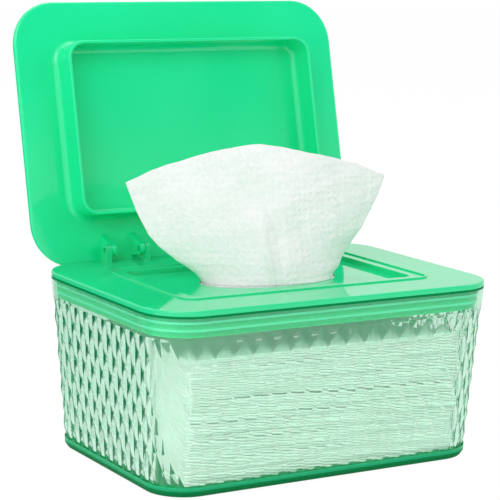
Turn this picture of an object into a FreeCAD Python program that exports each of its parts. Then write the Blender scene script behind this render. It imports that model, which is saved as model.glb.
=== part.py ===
"""Countertop wipes dispenser: a faceted tub, a cover with a flip lid, and the wipes it holds.

Millimetres. X runs along the long front, Y to the back, Z up. The origin is the middle of the
face that the tub stands on.
"""
import FreeCAD
import Part
import math
import os
import re

import Sketcher

# Driving dimensions
SIZES = {
    # Outline shared by the tub, the cover and the lid
    "box_wide": 190.0,
    "box_deep": 137.0,
    "corner_round": 23.0,
    "cover_top": 89.5,
    # Tub
    "foot_wide": 178.5,
    "foot_deep": 122.8,
    "foot_round": 20.0,
    "foot_bevel": 1.2,
    "foot_edge": 2.0,
    "foot_band": 5.0,
    "tub_wall": 2.0,
    "tub_floor": 4.0,
    "band_tall": 11.2,
    "band_step": 1.25,
    "facet_wide": 9.6,
    "facet_tall": 18.0,
    "facet_rise": 1.2,
    "facet_drop": 1.5,
    # Cover frame
    "flange_thick": 2.5,
    "flange_edge": 1.0,
    "skirt_deep": 10.6,
    "skirt_wall": 1.6,
    "skirt_gap": 1.5,
    "well_margin": 9.2,
    "well_depth": 2.4,
    "well_floor": 1.8,
    "well_wall": 1.8,
    "well_round": 4.5,
    "bead_wide": 1.3,
    "bead_tall": 0.7,
    "bead_edge": 0.3,
    "bead_gap": 0.4,
    "mouth_wide": 76.0,
    "mouth_deep": 41.0,
    # Seal round the skirt
    "seal_drop": 1.6,
    "seal_tall": 7.4,
    "seal_wall": 0.6,
    "lip_thick": 1.3,
    "lip_pitch": 3.6,
    "lip_gap": 0.3,
    # Flip lid
    "lid_thick": 3.2,
    "lid_edge": 1.3,
    "rim_side": 23.1,
    "rim_back": 25.0,
    "rim_tall": 14.5,
    "rim_wall": 1.5,
    "rim_round": 9.0,
    "rim_root": 3.0,
    "rim_crest": 0.5,
    "rim_front": 22.6,
    "closed_gap": 0.3,
    "opening_angle": 103.5,
    # Hinges
    "hinge_reach": 47.5,
    "hinge_wide": 25.0,
    "hinge_inset": 6.7,
    "hinge_rise": 6.1,
    "ear_thick": 2.7,
    "ear_round": 3.3,
    "knuckle_thick": 2.5,
    "knuckle_round": 3.0,
    "gusset_reach": 9.5,
    "side_gap": 0.3,
    "pin_round": 1.5,
    "pin_recess": 1.0,
    "ear_fit": 0.02,
    "knuckle_fit": 0.08,
    # Folded wipes
    "wipe_wide": 152.0,
    "wipe_deep": 104.0,
    "wipe_thick": 2.75,
    "fold_round": 1.2,
    "stack_front": 1.6,
    "stack_side": -0.5,
    "wipe_stray": 0.6,
    # Wipe that stands up out of the mouth
    "fan_left": 73.0,
    "fan_right": 61.0,
    "waist_left": 34.5,
    "waist_right": 34.5,
    "shoulder_rise": 49.0,
    "peak_rise": 68.7,
    "peak_shift": 7.0,
    "peak_round": 2.4,
    "fan_bulge": 17.5,
    "fan_fold": 5.0,
    "fan_turn": 18.0,
    "sheet_thick": 1.2,
    "tail_gap": 0.3,
    # Working allowances
    "overrun": 1.0,
    "same_place": 0.01,
}

WIPE_COUNT = 22
STRAY_TURN = 40.0
PIN_LABELS = (
    "hinge_pin_left_outer",
    "hinge_pin_left_inner",
    "hinge_pin_right_inner",
    "hinge_pin_right_outer",
)
QUARTER_TURN = 90.0
HALF_TURN = 2 * QUARTER_TURN
THIRD_TURN = 120.0

# Shares of the popup wipe's sizes, level by level from the mouth up
# rise, left reach, right reach, bulge, folds, turn
FAN_LEVEL_SHARES = (
    (0.00, 0.00, 0.00, 1.00, 0.30, 0.50),
    (0.20, 0.32, 0.14, 0.92, 0.45, 0.62),
    (0.40, 0.60, 0.38, 0.74, 0.65, 0.75),
    (0.70, 0.88, 0.70, 0.52, 0.90, 0.90),
    (1.00, 1.00, 1.00, 0.38, 1.00, 1.00),
    (1.45, 1.10, 1.45, 0.22, 1.10, 1.05),
)
# left reach, bulge and folds of the tail where it lies on the stack, and the level it leaves it
TAIL_FOOT_SHARES = (-0.12, -0.15, 0.35, 0.20, 0.40)
TAIL_LIFT_SHARE = 0.25
# Where the folds lie across the fan, and how far each stands toward the front
FOLD_PLACE_SHARES = (-1.0, -0.46, 0.02, 0.60, 1.0)
FOLD_STAND_SHARES = (0.0, 0.25, -0.55, 0.60, -1.10)
FOLD_CROWN_SHARE = 0.22

# The box's corners: the sides they lie on, and the quarter turns from +X at which each arc starts
CORNERS = ((-1, -1, 2), (1, -1, 3), (1, 1, 0), (-1, 1, 1))


def begin():
    """Makes the document and the sheet with the driving dimensions."""
    doc = FreeCAD.newDocument("WipesDispenser")
    sheet = doc.addObject("Spreadsheet::Sheet", "Sizes")
    for row, (alias, value) in enumerate(SIZES.items(), start=1):
        sheet.set(f"A{row}", alias)
        sheet.set(f"B{row}", str(value))
        sheet.setAlias(f"B{row}", alias)
    doc.recompute()
    return doc, {alias: float(sheet.get(alias)) for alias in SIZES}


doc, size = begin()
ALIAS = re.compile(r"\b(" + "|".join(SIZES) + r")\b")


def bind(thing, path, formula):
    """Binds a property to a formula in the sheet's aliases."""
    thing.setExpression(path, ALIAS.sub(r"Sizes.\1", formula))


def dimension(sketch, constraint, name, formula):
    """Adds a driving constraint to a sketch and binds its value."""
    index = sketch.addConstraint(constraint)
    sketch.renameConstraint(index, name)
    bind(sketch, f"Constraints.{name}", formula)


# Sketches


def body_named(label):
    """A PartDesign body with the name of the piece."""
    body = doc.addObject("PartDesign::Body", label)
    body.Label = label
    return body


def sketch_on(body, role, name, x="0", y="0", z="0"):
    """A sketch on one of the body's own origin planes, moved by formulas."""
    sketch = body.newObject("Sketcher::SketchObject", name)
    plane = next(item for item in body.Origin.OriginFeatures if item.Role == role)
    sketch.AttachmentSupport = [(plane, "")]
    sketch.MapMode = "FlatFace"
    for axis, formula in (("x", x), ("y", y), ("z", z)):
        bind(sketch, f"AttachmentOffset.Base.{axis}", formula)
    return sketch


def loose_sketch(name, level):
    """A sketch of its own, level with the ground at the height of a formula."""
    sketch = doc.addObject("Sketcher::SketchObject", name)
    bind(sketch, "Placement.Base.z", level)
    return sketch


def rounded_rectangle(sketch, wide, deep, corner, tag="outer"):
    """A rectangle with round corners about the sketch's origin."""
    half_wide = size["box_wide"] / 2
    half_deep = size["box_deep"] / 2
    radius = size["corner_round"]
    first = sketch.GeometryCount
    for sx, sy, quarters in CORNERS:
        centre = FreeCAD.Vector(sx * (half_wide - radius), sy * (half_deep - radius), 0)
        circle = Part.Circle(centre, FreeCAD.Vector(0, 0, 1), radius)
        start = math.radians(QUARTER_TURN * quarters)
        sketch.addGeometry(Part.ArcOfCircle(circle, start, start + math.radians(QUARTER_TURN)))
    for index in range(4):
        arc = sketch.Geometry[first + index]
        following = sketch.Geometry[first + (index + 1) % 4]
        sketch.addGeometry(Part.LineSegment(arc.EndPoint, following.StartPoint))
    for index in range(4):
        line = first + 4 + index
        following = first + (index + 1) % 4
        sketch.addConstraint(Sketcher.Constraint("Tangent", first + index, 2, line, 1))
        sketch.addConstraint(Sketcher.Constraint("Tangent", line, 2, following, 1))
        direction = "Horizontal" if index % 2 == 0 else "Vertical"
        sketch.addConstraint(Sketcher.Constraint(direction, line))
    for index in range(1, 4):
        sketch.addConstraint(Sketcher.Constraint("Equal", first, first + index))
    sketch.addConstraint(Sketcher.Constraint("Symmetric", first, 3, first + 2, 3, -1, 1))
    across = Sketcher.Constraint("DistanceX", first, 3, first + 1, 3, 2 * (half_wide - radius))
    upward = Sketcher.Constraint("DistanceY", first + 1, 3, first + 2, 3, 2 * (half_deep - radius))
    dimension(sketch, across, f"{tag}_across", f"{wide} - 2 * ({corner})")
    dimension(sketch, upward, f"{tag}_upward", f"{deep} - 2 * ({corner})")
    dimension(sketch, Sketcher.Constraint("Radius", first, radius), f"{tag}_round", corner)


def rounded_ring(sketch, wide, deep, corner, wall):
    """Two rounded rectangles, one a wall inside the other."""
    rounded_rectangle(sketch, wide, deep, corner)
    inner_wide = f"{wide} - 2 * ({wall})"
    inner_deep = f"{deep} - 2 * ({wall})"
    rounded_rectangle(sketch, inner_wide, inner_deep, f"{corner} - ({wall})", "inner")


# Features


def pad(body, sketch, name, length, downward=False, midplane=False):
    feature = body.newObject("PartDesign::Pad", name)
    feature.Profile = sketch
    bind(feature, "Length", length)
    feature.Reversed = downward
    feature.Midplane = midplane
    sketch.Visibility = False
    return feature


def pocket(body, sketch, name, depth):
    feature = body.newObject("PartDesign::Pocket", name)
    feature.Profile = sketch
    bind(feature, "Length", depth)
    sketch.Visibility = False
    return feature


def level_edges(feature, height, keep=lambda edge: True):
    """Names of the edges of a feature that lie flat at a height."""
    names = []
    for number, edge in enumerate(feature.Shape.Edges, start=1):
        box = edge.BoundBox
        flat = abs(box.ZMin - height) < size["same_place"] and abs(box.ZMax - height) < size["same_place"]
        if flat and keep(edge):
            names.append(f"Edge{number}")
    return names


def fillet(body, feature, name, edges, radius):
    rounding = body.newObject("PartDesign::Fillet", name)
    rounding.Base = (feature, edges)
    bind(rounding, "Radius", radius)
    return rounding


def combined(kind, name, base, tool):
    """A boolean of two objects: a cut or a fuse."""
    result = doc.addObject(kind, name)
    result.Base = base
    result.Tool = tool
    return result


# Tub

TUB_TALL = "(cover_top - flange_thick)"
BAND_LOW = "(cover_top - flange_thick - band_tall)"


def tub_outline(name, level, inset):
    """The tub's outline at a level, drawn in by an inset."""
    sketch = loose_sketch(name, level)
    rise = f"({level}) / {TUB_TALL}"
    rounded_rectangle(
        sketch,
        f"foot_wide + (box_wide - foot_wide) * {rise} - 2 * ({inset})",
        f"foot_deep + (box_deep - foot_deep) * {rise} - 2 * ({inset})",
        f"foot_round + (corner_round - foot_round) * {rise} - ({inset})",
    )
    return sketch


def loft(name, sections):
    feature = doc.addObject("Part::Loft", name)
    feature.Sections = sections
    feature.Solid = True
    feature.Ruled = True
    return feature


def facet_columns():
    """Half columns of diamonds on a long side, a corner and a short side."""
    long_run = size["foot_wide"] - 2 * size["foot_round"]
    short_run = size["foot_deep"] - 2 * size["foot_round"]
    corner_run = math.radians(QUARTER_TURN) * size["corner_round"]
    return [2 * max(1, round(run / size["facet_wide"])) for run in (long_run, corner_run, short_run)]


def outline_stations():
    """Each station round the tub: its corner's side signs, its turn and its share of a straight run."""
    long_steps, corner_steps, short_steps = facet_columns()
    stations = []
    for sx, sy, quarters in CORNERS:
        start = QUARTER_TURN * quarters
        straight_steps = long_steps if sx == sy else short_steps
        for step in range(corner_steps):
            stations.append((sx, sy, start + QUARTER_TURN * step / corner_steps, 0.0))
        for step in range(straight_steps):
            stations.append((sx, sy, start + QUARTER_TURN, step / straight_steps))
    return stations


def station_point(station, level, stand):
    """A point of the tub's outline at a level, standing out from it."""
    sx, sy, turn, share = station
    rise = level / (size["cover_top"] - size["flange_thick"])
    wide = size["foot_wide"] + (size["box_wide"] - size["foot_wide"]) * rise
    deep = size["foot_deep"] + (size["box_deep"] - size["foot_deep"]) * rise
    radius = size["foot_round"] + (size["corner_round"] - size["foot_round"]) * rise
    direction = FreeCAD.Vector(math.cos(math.radians(turn)), math.sin(math.radians(turn)), 0)
    along = FreeCAD.Vector(-direction.y, direction.x, 0)
    centre = FreeCAD.Vector(sx * (wide / 2 - radius), sy * (deep / 2 - radius), level)
    straight = abs(along.x) * (wide - 2 * radius) + abs(along.y) * (deep - 2 * radius)
    return centre + direction * (radius + stand) + along * (straight * share)


def triangle(corners):
    return Part.Face(Part.makePolygon(list(corners) + [corners[0]]))


def facet_core():
    """The part of the tub with the diamonds: a closed solid of flat triangles.

    Its top and bottom rows end inside the band and the foot, so the diamonds run on under them.
    """
    half_tall = size["facet_tall"] / 2
    top_row = size["cover_top"] - size["flange_thick"] - size["band_tall"] - size["facet_drop"]
    half_rows = 2 + math.floor((top_row - size["foot_edge"]) / half_tall)
    lowest = top_row - (half_rows - 1) * half_tall
    if lowest < size["foot_edge"]:
        lowest += half_tall
        half_rows -= 1
    stations = outline_stations()
    grid = []
    for row in range(half_rows + 1):
        level = lowest + half_tall * row
        ring = []
        for column, station in enumerate(stations):
            stand = size["facet_rise"] if (row + column) % 2 == 1 else 0.0
            ring.append(station_point(station, level, stand - size["band_step"]))
        grid.append(ring)
    faces = [Part.Face(Part.makePolygon(ring + ring[:1])) for ring in (grid[0], grid[-1])]
    count = len(stations)
    for row in range(half_rows):
        for column in range(count):
            following = (column + 1) % count
            under, over = grid[row], grid[row + 1]
            quad = (under[column], under[following], over[following], over[column])
            if (row + column) % 2 == 1:
                quad = quad[1:] + quad[:1]
            faces.append(triangle((quad[0], quad[1], quad[2])))
            faces.append(triangle((quad[0], quad[2], quad[3])))
    shell = Part.makeShell(faces)
    shell.sewShape()
    solid = Part.makeSolid(shell)
    if solid.Volume < 0:
        solid.reverse()
    core = doc.addObject("Part::Feature", "FacetCore")
    core.Shape = solid
    return core


def tub():
    foot = loft("FootLoft", [
        tub_outline("FootUnder", "0", "foot_bevel"),
        tub_outline("FootEdge", "foot_edge", "0"),
        tub_outline("FootOver", "foot_band", "(band_step - facet_rise) * 2"),
    ])
    band = loft("BandLoft", [
        tub_outline("BandUnder", BAND_LOW, "0"),
        tub_outline("BandOver", TUB_TALL, "0"),
    ])
    cavity = loft("CavityLoft", [
        tub_outline("CavityUnder", "tub_floor", "tub_wall"),
        tub_outline("CavityOver", f"{TUB_TALL} + overrun", "tub_wall"),
    ])
    solid = doc.addObject("Part::MultiFuse", "TubSolid")
    solid.Shapes = [facet_core(), foot, band]
    result = combined("Part::Cut", "TubHollow", solid, cavity)
    result.Label = "tub"
    return result


# Cover frame

# The skirt clears the tub's sloping wall at its lower edge
SKIRT_SLOPE = f"skirt_deep / {TUB_TALL}"
SKIRT_WIDE = f"(box_wide - (box_wide - foot_wide) * {SKIRT_SLOPE} - 2 * tub_wall - 2 * skirt_gap)"
SKIRT_DEEP = f"(box_deep - (box_deep - foot_deep) * {SKIRT_SLOPE} - 2 * tub_wall - 2 * skirt_gap)"
SKIRT_ROUND = "(corner_round - tub_wall - skirt_gap)"
RIM_WIDE = "(box_wide - 2 * rim_side)"
RIM_DEEP = "(box_deep - rim_front - rim_back)"
WELL_WIDE = f"({RIM_WIDE} - 2 * well_margin)"
WELL_DEEP = f"({RIM_DEEP} - 2 * well_margin)"
# The lid's rim lands here when the lid is closed
RIM_MIDDLE = "((rim_back - rim_front) / 2)"
HINGE_Y = "(box_deep / 2 - hinge_inset)"
HINGE_Z = "(cover_top + hinge_rise)"


def arch_profile(sketch, half_wide, tall, bore):
    """An upright plate with a round top and a bore, both about the sketch's origin."""
    radius = size["ear_round"]
    depth = size["hinge_rise"] + size["overrun"]
    centre = FreeCAD.Vector(0, 0, 0)
    circle = Part.Circle(centre, FreeCAD.Vector(0, 0, 1), radius)
    sketch.addGeometry(Part.ArcOfCircle(circle, 0, math.radians(HALF_TURN)))
    corners = [FreeCAD.Vector(-radius, 0, 0), FreeCAD.Vector(-radius, -depth, 0)]
    corners += [FreeCAD.Vector(radius, -depth, 0), FreeCAD.Vector(radius, 0, 0)]
    for start, end in zip(corners, corners[1:]):
        sketch.addGeometry(Part.LineSegment(start, end))
    hole = Part.Circle(centre, FreeCAD.Vector(0, 0, 1), size["pin_round"])
    sketch.addGeometry(hole)
    sketch.addConstraint(Sketcher.Constraint("Coincident", 0, 3, -1, 1))
    sketch.addConstraint(Sketcher.Constraint("Coincident", 4, 3, -1, 1))
    sketch.addConstraint(Sketcher.Constraint("Tangent", 0, 2, 1, 1))
    sketch.addConstraint(Sketcher.Constraint("Coincident", 1, 2, 2, 1))
    sketch.addConstraint(Sketcher.Constraint("Coincident", 2, 2, 3, 1))
    sketch.addConstraint(Sketcher.Constraint("Tangent", 3, 2, 0, 1))
    sketch.addConstraint(Sketcher.Constraint("Vertical", 1))
    sketch.addConstraint(Sketcher.Constraint("Horizontal", 2))
    sketch.addConstraint(Sketcher.Constraint("Vertical", 3))
    dimension(sketch, Sketcher.Constraint("Radius", 0, radius), "round", half_wide)
    dimension(sketch, Sketcher.Constraint("DistanceY", 1, 2, 1, 1, depth), "tall", tall)
    dimension(sketch, Sketcher.Constraint("Radius", 4, size["pin_round"]), "bore", bore)


def hinge_ends():
    """Each hinge's side of the box and each end of the hinge."""
    return [(side, end) for side in (-1, 1) for end in (-1, 1)]


def cover_frame():
    body = body_named("CoverBody")
    flange = sketch_on(body, "XY_Plane", "FlangeOutline", z=TUB_TALL)
    rounded_rectangle(flange, "box_wide", "box_deep", "corner_round")
    plate = pad(body, flange, "Flange", "flange_thick")
    doc.recompute()
    edges = level_edges(plate, size["cover_top"])
    fillet(body, plate, "FlangeEdge", edges, "flange_edge")

    skirt = sketch_on(body, "XY_Plane", "SkirtOutline", z=f"{TUB_TALL} + overrun / 4")
    rounded_ring(skirt, SKIRT_WIDE, SKIRT_DEEP, SKIRT_ROUND, "skirt_wall")
    pad(body, skirt, "Skirt", "skirt_deep + overrun / 4", downward=True)

    tray = sketch_on(body, "XY_Plane", "TrayOutline", y=f"-{RIM_MIDDLE}", z=f"{TUB_TALL} + overrun / 4")
    rounded_rectangle(
        tray, f"{WELL_WIDE} + 2 * well_wall", f"{WELL_DEEP} + 2 * well_wall", "well_round + well_wall"
    )
    pad(body, tray, "Tray", "well_depth + well_floor - flange_thick + overrun / 4", downward=True)

    well = sketch_on(body, "XY_Plane", "WellOutline", y=f"-{RIM_MIDDLE}", z="cover_top")
    rounded_rectangle(well, WELL_WIDE, WELL_DEEP, "well_round")
    pocket(body, well, "Well", "well_depth")

    outline = sketch_on(body, "XY_Plane", "BeadOutline", y=f"-{RIM_MIDDLE}", z="cover_top - overrun / 4")
    rounded_ring(
        outline,
        f"{RIM_WIDE} - 2 * rim_wall - 2 * bead_gap",
        f"{RIM_DEEP} - 2 * rim_wall - 2 * bead_gap",
        "rim_round - rim_wall - bead_gap",
        "bead_wide",
    )
    bead = pad(body, outline, "Bead", "bead_tall + overrun / 4")
    doc.recompute()
    fillet(body, bead, "BeadEdge", level_edges(bead, size["cover_top"] + size["bead_tall"]), "bead_edge")

    for number, (side, end) in enumerate(hinge_ends(), start=1):
        place = f"{side} * hinge_reach + {end} * (hinge_wide - ear_thick) / 2"
        ear = sketch_on(body, "YZ_Plane", f"EarOutline{number}", x=HINGE_Y, y=HINGE_Z, z=place)
        arch_profile(ear, "ear_round", "hinge_rise + overrun", "pin_round + ear_fit")
        pad(body, ear, f"Ear{number}", "ear_thick", midplane=True)

    mouth = doc.addObject("Part::Ellipse", "MouthOutline")
    bind(mouth, "MajorRadius", "mouth_wide / 2")
    bind(mouth, "MinorRadius", "mouth_deep / 2")
    bind(mouth, "Placement.Base.y", f"-{RIM_MIDDLE}")
    bind(mouth, "Placement.Base.z", "cover_top - well_depth - well_floor - overrun")
    core = doc.addObject("Part::Extrusion", "MouthCore")
    core.Base = mouth
    core.DirMode = "Custom"
    core.Dir = FreeCAD.Vector(0, 0, 1)
    core.Solid = True
    bind(core, "LengthFwd", "well_depth + well_floor + overrun")
    result = combined("Part::Cut", "CoverFrame", body, core)
    result.Label = "cover_frame"
    return result


# Seal


def cover_seal():
    """A soft ring on the skirt with two lips that reach for the tub's wall."""
    body = body_named("cover_seal")
    top = f"{TUB_TALL} - seal_drop"
    collar = sketch_on(body, "XY_Plane", "CollarOutline", z=top)
    rounded_ring(
        collar,
        f"{SKIRT_WIDE} + 2 * seal_wall",
        f"{SKIRT_DEEP} + 2 * seal_wall",
        f"{SKIRT_ROUND} + seal_wall",
        "seal_wall",
    )
    pad(body, collar, "Collar", "seal_tall", downward=True)
    for number in (0, 1):
        drop = f"seal_drop + seal_tall / 2 - lip_pitch / 2 - lip_thick / 2 + {number} * lip_pitch"
        taper = f"(box_wide - foot_wide) / 2 * ({drop} + lip_thick) / {TUB_TALL}"
        deep_taper = f"(box_deep - foot_deep) / 2 * ({drop} + lip_thick) / {TUB_TALL}"
        lip = sketch_on(body, "XY_Plane", f"LipOutline{number}", z=f"{TUB_TALL} - ({drop})")
        rounded_rectangle(
            lip,
            f"box_wide - 2 * tub_wall - 2 * lip_gap - 2 * ({taper})",
            f"box_deep - 2 * tub_wall - 2 * lip_gap - 2 * ({deep_taper})",
            "corner_round - tub_wall - lip_gap",
        )
        rounded_rectangle(lip, SKIRT_WIDE, SKIRT_DEEP, SKIRT_ROUND, "inner")
        pad(body, lip, f"Lip{number}", "lip_thick", downward=True)
    return body


# Lid, drawn about the hinge's axis with its inner face up, then turned to its open place

LID_FACE = "(rim_tall + closed_gap - hinge_rise)"
LID_MIDDLE = "(box_deep / 2 - hinge_inset)"
LID_RIM_MIDDLE = f"(rim_back - hinge_inset + {RIM_DEEP} / 2)"


def knuckle_profile(sketch):
    """A rib that grows from the lid's face to a round eye about the sketch's origin."""
    radius = size["knuckle_round"]
    foot = -(size["rim_tall"] + size["closed_gap"] - size["hinge_rise"]) - size["overrun"]
    reach = size["gusset_reach"]
    lean = math.acos(radius / math.hypot(reach, foot)) - math.atan2(-foot, reach)
    tangent = FreeCAD.Vector(radius * math.cos(lean), radius * math.sin(lean), 0)
    centre = FreeCAD.Vector(0, 0, 0)
    circle = Part.Circle(centre, FreeCAD.Vector(0, 0, 1), radius)
    sketch.addGeometry(Part.ArcOfCircle(circle, lean, math.radians(HALF_TURN)))
    corners = [FreeCAD.Vector(-radius, 0, 0), FreeCAD.Vector(-radius, foot, 0)]
    corners += [FreeCAD.Vector(reach, foot, 0), tangent]
    for start, end in zip(corners, corners[1:]):
        sketch.addGeometry(Part.LineSegment(start, end))
    sketch.addGeometry(Part.Circle(centre, FreeCAD.Vector(0, 0, 1), size["pin_round"]))
    sketch.addConstraint(Sketcher.Constraint("Coincident", 0, 3, -1, 1))
    sketch.addConstraint(Sketcher.Constraint("Coincident", 4, 3, -1, 1))
    sketch.addConstraint(Sketcher.Constraint("Tangent", 0, 2, 1, 1))
    sketch.addConstraint(Sketcher.Constraint("Coincident", 1, 2, 2, 1))
    sketch.addConstraint(Sketcher.Constraint("Coincident", 2, 2, 3, 1))
    sketch.addConstraint(Sketcher.Constraint("Tangent", 3, 2, 0, 1))
    sketch.addConstraint(Sketcher.Constraint("Vertical", 1))
    sketch.addConstraint(Sketcher.Constraint("Horizontal", 2))
    dimension(sketch, Sketcher.Constraint("Radius", 0, radius), "round", "knuckle_round")
    dimension(sketch, Sketcher.Constraint("DistanceY", 1, 2, 1, 1, -foot), "tall", f"{LID_FACE} + overrun")
    dimension(sketch, Sketcher.Constraint("DistanceX", -1, 1, 2, 2, reach), "reach", "gusset_reach")
    bore = Sketcher.Constraint("Radius", 4, size["pin_round"])
    dimension(sketch, bore, "bore", "pin_round + knuckle_fit")


def flip_lid():
    body = body_named("flip_lid")
    outline = sketch_on(body, "XY_Plane", "LidOutline", y=LID_MIDDLE, z=f"-{LID_FACE} - lid_thick")
    rounded_rectangle(outline, "box_wide", "box_deep", "corner_round")
    plate = pad(body, outline, "LidPlate", "lid_thick")
    doc.recompute()
    face = -(size["rim_tall"] + size["closed_gap"] - size["hinge_rise"])
    edges = level_edges(plate, face) + level_edges(plate, face - size["lid_thick"])
    fillet(body, plate, "LidEdge", edges, "lid_edge")

    rim = sketch_on(body, "XY_Plane", "RimRing", y=LID_RIM_MIDDLE, z=f"-{LID_FACE}")
    rounded_ring(rim, RIM_WIDE, RIM_DEEP, "rim_round", "rim_wall")
    wall = pad(body, rim, "RimWall", "rim_tall")
    doc.recompute()
    half_wide = size["box_wide"] / 2 - size["rim_side"]
    lowest = size["rim_back"] - size["hinge_inset"]
    highest = size["box_deep"] - size["hinge_inset"] - size["rim_front"]

    def is_root(edge):
        centre = edge.BoundBox.Center
        in_wide = abs(centre.x) < half_wide + size["same_place"]
        return in_wide and lowest - size["same_place"] < centre.y < highest + size["same_place"]

    rooted = fillet(body, wall, "RimRoot", level_edges(wall, face, is_root), "rim_root")
    doc.recompute()
    fillet(body, rooted, "RimCrest", level_edges(rooted, face + size["rim_tall"]), "rim_crest")

    for number, (side, end) in enumerate(hinge_ends(), start=1):
        inset = "(hinge_wide / 2 - ear_thick - side_gap - knuckle_thick / 2)"
        place = f"{side} * hinge_reach + {end} * {inset}"
        rib = sketch_on(body, "YZ_Plane", f"KnuckleOutline{number}", z=place)
        knuckle_profile(rib)
        pad(body, rib, f"Knuckle{number}", "knuckle_thick", midplane=True)
    body.Placement.Rotation = FreeCAD.Rotation(FreeCAD.Vector(1, 0, 0), HALF_TURN - size["opening_angle"])
    bind(body, "Placement.Base.y", HINGE_Y)
    bind(body, "Placement.Base.z", HINGE_Z)
    return body


def hinge_pin(side, end, label):
    """A stub pin through one ear and the knuckle beside it."""
    held = "(ear_thick + side_gap + knuckle_thick - pin_recess)"
    middle = f"(hinge_wide - pin_recess * 2 - {held}) / 2"
    pin = doc.addObject("Part::Cylinder", label)
    pin.Label = label
    pin.Placement.Rotation = FreeCAD.Rotation(FreeCAD.Vector(0, 1, 0), QUARTER_TURN)
    bind(pin, "Radius", "pin_round")
    bind(pin, "Height", held)
    bind(pin, "Placement.Base.x", f"{side} * hinge_reach + {end} * {middle} - {held} / 2")
    bind(pin, "Placement.Base.y", HINGE_Y)
    bind(pin, "Placement.Base.z", HINGE_Z)
    return pin


# Wipes


def folded_wipes():
    """The stack: each wipe a long pad with round folds, lying on the one below."""
    profile = doc.addObject("Sketcher::SketchObject", "WipeProfile")
    profile.Placement.Rotation = FreeCAD.Rotation(FreeCAD.Vector(1, 1, 1), THIRD_TURN)
    rounded_rectangle(profile, "wipe_deep", "wipe_thick", "fold_round")
    wipes = []
    for number in range(WIPE_COUNT):
        wipe = doc.addObject("Part::Extrusion", f"FoldedWipe{number + 1:02d}")
        wipe.Base = profile
        wipe.DirMode = "Custom"
        wipe.Dir = FreeCAD.Vector(1, 0, 0)
        wipe.Solid = True
        wipe.Label = f"folded_wipe_{number + 1:02d}"
        bind(wipe, "LengthFwd", "wipe_wide")
        side_share = math.sin(math.radians(STRAY_TURN * number * number))
        back_share = abs(math.cos(math.radians(STRAY_TURN * number * 2)))
        front = "-foot_deep / 2 + tub_wall + stack_front + wipe_deep / 2"
        bind(wipe, "Placement.Base.x", f"stack_side - wipe_wide / 2 + wipe_stray * {side_share:.3f}")
        bind(wipe, "Placement.Base.y", f"{front} + wipe_stray * {back_share:.3f}")
        bind(wipe, "Placement.Base.z", f"tub_floor + wipe_thick * ({number} + 1 / 2)")
        wipes.append(wipe)
    return wipes


def fan_section(level, left, right, bulge, fold, turn):
    """One closed section of the popup wipe: its front face, its two ends and its back face."""
    across = FreeCAD.Vector(math.cos(math.radians(turn)), -math.sin(math.radians(turn)), 0)
    front = FreeCAD.Vector(-math.sin(math.radians(turn)), -math.cos(math.radians(turn)), 0)
    middle = FreeCAD.Vector(0, (size["rim_front"] - size["rim_back"]) / 2, level)
    back = front * -size["sheet_thick"]

    def place(share, stand):
        reach = left if share < 0 else right
        return middle + across * (reach * share) + front * (bulge * (1 - share * share) + fold * stand)

    knots = [place(share, stand) for share, stand in zip(FOLD_PLACE_SHARES, FOLD_STAND_SHARES)]
    crowns = []
    for index in range(len(knots) - 1):
        share = (FOLD_PLACE_SHARES[index] + FOLD_PLACE_SHARES[index + 1]) / 2
        stand = (FOLD_STAND_SHARES[index] + FOLD_STAND_SHARES[index + 1]) / 2
        crowns.append(place(share, stand + FOLD_CROWN_SHARE))
    ahead = [Part.Arc(*points).toShape() for points in zip(knots, crowns, knots[1:])]
    right_end = Part.LineSegment(knots[-1], knots[-1] + back).toShape()
    rear_knots = [knot + back for knot in reversed(knots)]
    rear_crowns = [crown + back for crown in reversed(crowns)]
    behind = [Part.Arc(*points).toShape() for points in zip(rear_knots, rear_crowns, rear_knots[1:])]
    left_end = Part.LineSegment(knots[0] + back, knots[0]).toShape()
    return Part.Wire(ahead + [right_end] + behind + [left_end])


def fan_sizes(shares, level):
    left_share, right_share, bulge_share, fold_share, turn_share = shares
    left = size["waist_left"] + (size["fan_left"] - size["waist_left"]) * left_share
    right = size["waist_right"] + (size["fan_right"] - size["waist_right"]) * right_share
    bulge = size["fan_bulge"] * bulge_share
    fold = size["fan_fold"] * fold_share
    return fan_section(level, left, right, bulge, fold, size["fan_turn"] * turn_share)


def top_edge_cutter(mouth_level):
    """A block over the fan whose lower face follows the wipe's top edge, from tip to tip."""
    turn = math.radians(size["fan_turn"])
    across = FreeCAD.Vector(math.cos(turn), -math.sin(turn), 0)
    front = FreeCAD.Vector(-math.sin(turn), -math.cos(turn), 0)
    reach = size["fan_left"]
    base = FreeCAD.Vector(0, (size["rim_front"] - size["rim_back"]) / 2, mouth_level) - front * reach
    up = FreeCAD.Vector(0, 0, 1)

    def place(along, rise):
        return base + across * along + up * rise

    shoulder = size["shoulder_rise"]
    peak = size["peak_rise"]
    apex = place(-size["peak_shift"], peak)
    left_tip = place(-size["fan_left"], shoulder)
    right_tip = place(size["fan_right"], shoulder)
    crown = up * size["peak_round"]
    far_left = left_tip + (left_tip - apex)
    far_right = right_tip + (right_tip - apex)
    left_arc = Part.Arc(left_tip, (left_tip + apex) * 0.5 + crown, apex).toShape()
    right_arc = Part.Arc(apex, (right_tip + apex) * 0.5 + crown, right_tip).toShape()
    high_left = far_left + up * peak
    high_right = far_right + up * peak
    edges = [
        Part.LineSegment(far_left, left_tip).toShape(),
        left_arc,
        right_arc,
        Part.LineSegment(right_tip, far_right).toShape(),
        Part.LineSegment(far_right, high_right).toShape(),
        Part.LineSegment(high_right, high_left).toShape(),
        Part.LineSegment(high_left, far_left).toShape(),
    ]
    return Part.Face(Part.Wire(edges)).extrude(front * (2 * reach))


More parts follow.
